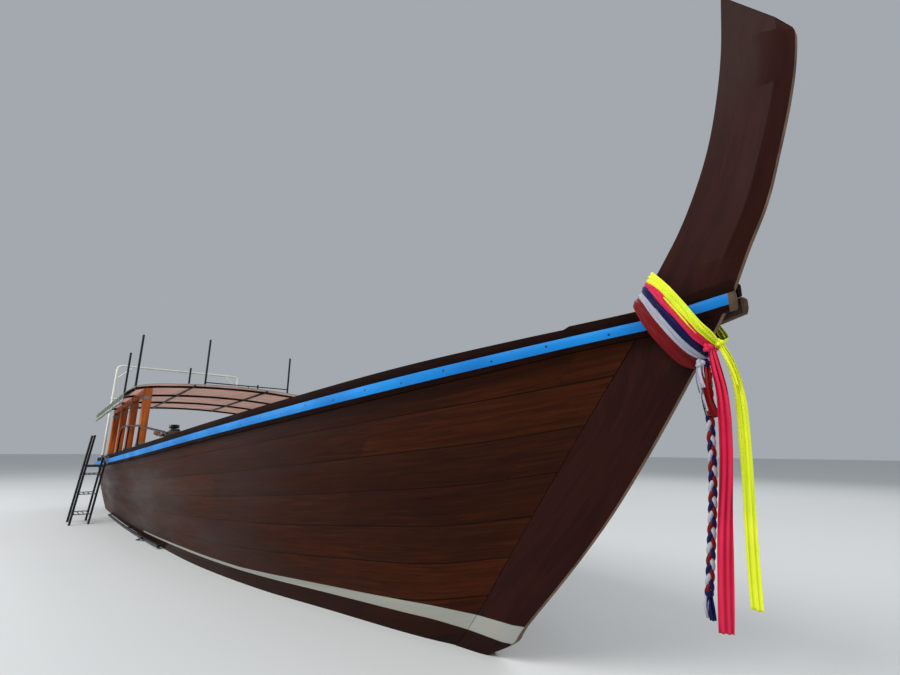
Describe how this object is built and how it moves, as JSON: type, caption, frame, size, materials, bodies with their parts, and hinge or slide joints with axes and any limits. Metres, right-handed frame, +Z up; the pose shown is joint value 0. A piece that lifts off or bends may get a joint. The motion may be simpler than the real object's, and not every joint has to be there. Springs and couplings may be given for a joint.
{
  "type": "longtail boat",
  "caption": "Wooden passenger boat with a swept-up prow, ribbons tied round it, a roofed after half and an engine on a swivel with a long propeller shaft.",
  "frame": {"origin": "on the centreline amidships at the water's surface, with the boat afloat and empty", "axes": "+X forward to the prow, +Y to port, +Z up"},
  "size_m": [14.5163, 2.8755, 3.7532],
  "materials": {
    "bottom_timber": "painted dark brown, worn",
    "hull_timber": "varnished reddish brown planks",
    "stem_timber": "varnished",
    "gunwale_timber": "very dark brown",
    "rail_paint": "bright blue gloss paint",
    "inside_timber": "oiled, worn",
    "deck_timber": "worn boards",
    "post_timber": "orange-brown varnish",
    "dark_pipe": "dark paint, worn",
    "white_pipe": "white paint",
    "cover_cloth": "coated woven sheet",
    "bare_steel": "bare, stained",
    "engine_paint": "oily green-grey paint",
    "engine_cast": "raw casting",
    "exhaust_steel": "rusted",
    "bronze": "dull bronze",
    "tank_plastic": "moulded red plastic",
    "pink_cloth": "thin satin cloth",
    "yellow_cloth": "thin satin cloth",
    "red_cloth": "twisted cloth strips"
  },
  "bodies": {
    "hull": {"keel": "bottom_timber", "bottom_planks_port": "bottom_timber", "bottom_planks_starboard": "bottom_timber", "side_planks_port_aft": "hull_timber", "side_planks_port_middle": "hull_timber", "side_planks_port_fore": "hull_timber", "side_planks_starboard_aft": "hull_timber", "side_planks_starboard_middle": "hull_timber", "side_planks_starboard_fore": "hull_timber", "transom": "hull_timber", "stem_prow": "stem_timber", "rub_rail_port_aft": "rail_paint", "rub_rail_port_fore": "rail_paint", "rub_rail_starboard_aft": "rail_paint", "rub_rail_starboard_fore": "rail_paint", "gunwale_port_aft": "gunwale_timber", "gunwale_port_fore": "gunwale_timber", "gunwale_starboard_aft": "gunwale_timber", "gunwale_starboard_fore": "gunwale_timber", "floor_timbers": "inside_timber", "side_frames_port": "inside_timber", "side_frames_starboard": "inside_timber", "floorboards": "deck_timber", "foredeck": "deck_timber", "stern_deck": "deck_timber", "thwart_1": "deck_timber", "thwart_2": "deck_timber", "thwart_3": "deck_timber", "thwart_4": "deck_timber", "thwart_5": "deck_timber", "engine_beam": "gunwale_timber", "canopy_frame": "dark_pipe", "canopy_cover": "cover_cloth", "valance_port": "cover_cloth", "valance_starboard": "cover_cloth", "house_side_port_aft": "post_timber", "house_side_port_fore": "post_timber", "house_side_starboard_aft": "post_timber", "house_side_starboard_middle": "post_timber", "house_side_starboard_fore": "post_timber", "stern_arch": "white_pipe", "handrail_starboard": "dark_pipe", "hull_bar_starboard": "dark_pipe", "engine_socket": "bare_steel", "fuel_tank": "tank_plastic", "ladder_hinge_aft": "bare_steel", "ladder_hinge_fore": "bare_steel", "ribbon_wrap": "pink_cloth", "braid": "red_cloth", "pink_sash": "pink_cloth", "yellow_sash": "yellow_cloth"},
    "swivel": {"swivel_yoke": "bare_steel"},
    "tail": {"engine_cradle": "dark_pipe", "engine_block": "engine_paint", "engine_head": "engine_cast", "exhaust_pipe": "exhaust_steel", "air_filter": "dark_pipe", "tail_tube": "bare_steel"},
    "propeller": {"propeller": "bronze"},
    "ladder": {"ladder": "dark_pipe"}
  },
  "joints": [
    {"name": "tail_yaw", "type": "hinge", "parent": "hull", "child": "swivel", "pos_m": [-4.44, 0, 0.97], "axis": [0, 0, 1], "range_deg": [-45, 45]},
    {"name": "tail_tilt", "type": "hinge", "parent": "swivel", "child": "tail", "pos_m": [-4.44, 0, 1.085], "axis": [0, -1, 0], "range_deg": [0, 14]},
    {"name": "propeller_spin", "type": "hinge", "parent": "tail", "child": "propeller", "pos_m": [-8.0372, 0, 0.5795], "axis": [0.9903, 0, 0.1392], "continuous": true},
    {"name": "ladder_swing", "type": "hinge", "parent": "hull", "child": "ladder", "pos_m": [-2.565, -1.196, 0.952], "axis": [-1, 0, 0], "range_deg": [0, 95]}
  ]
}
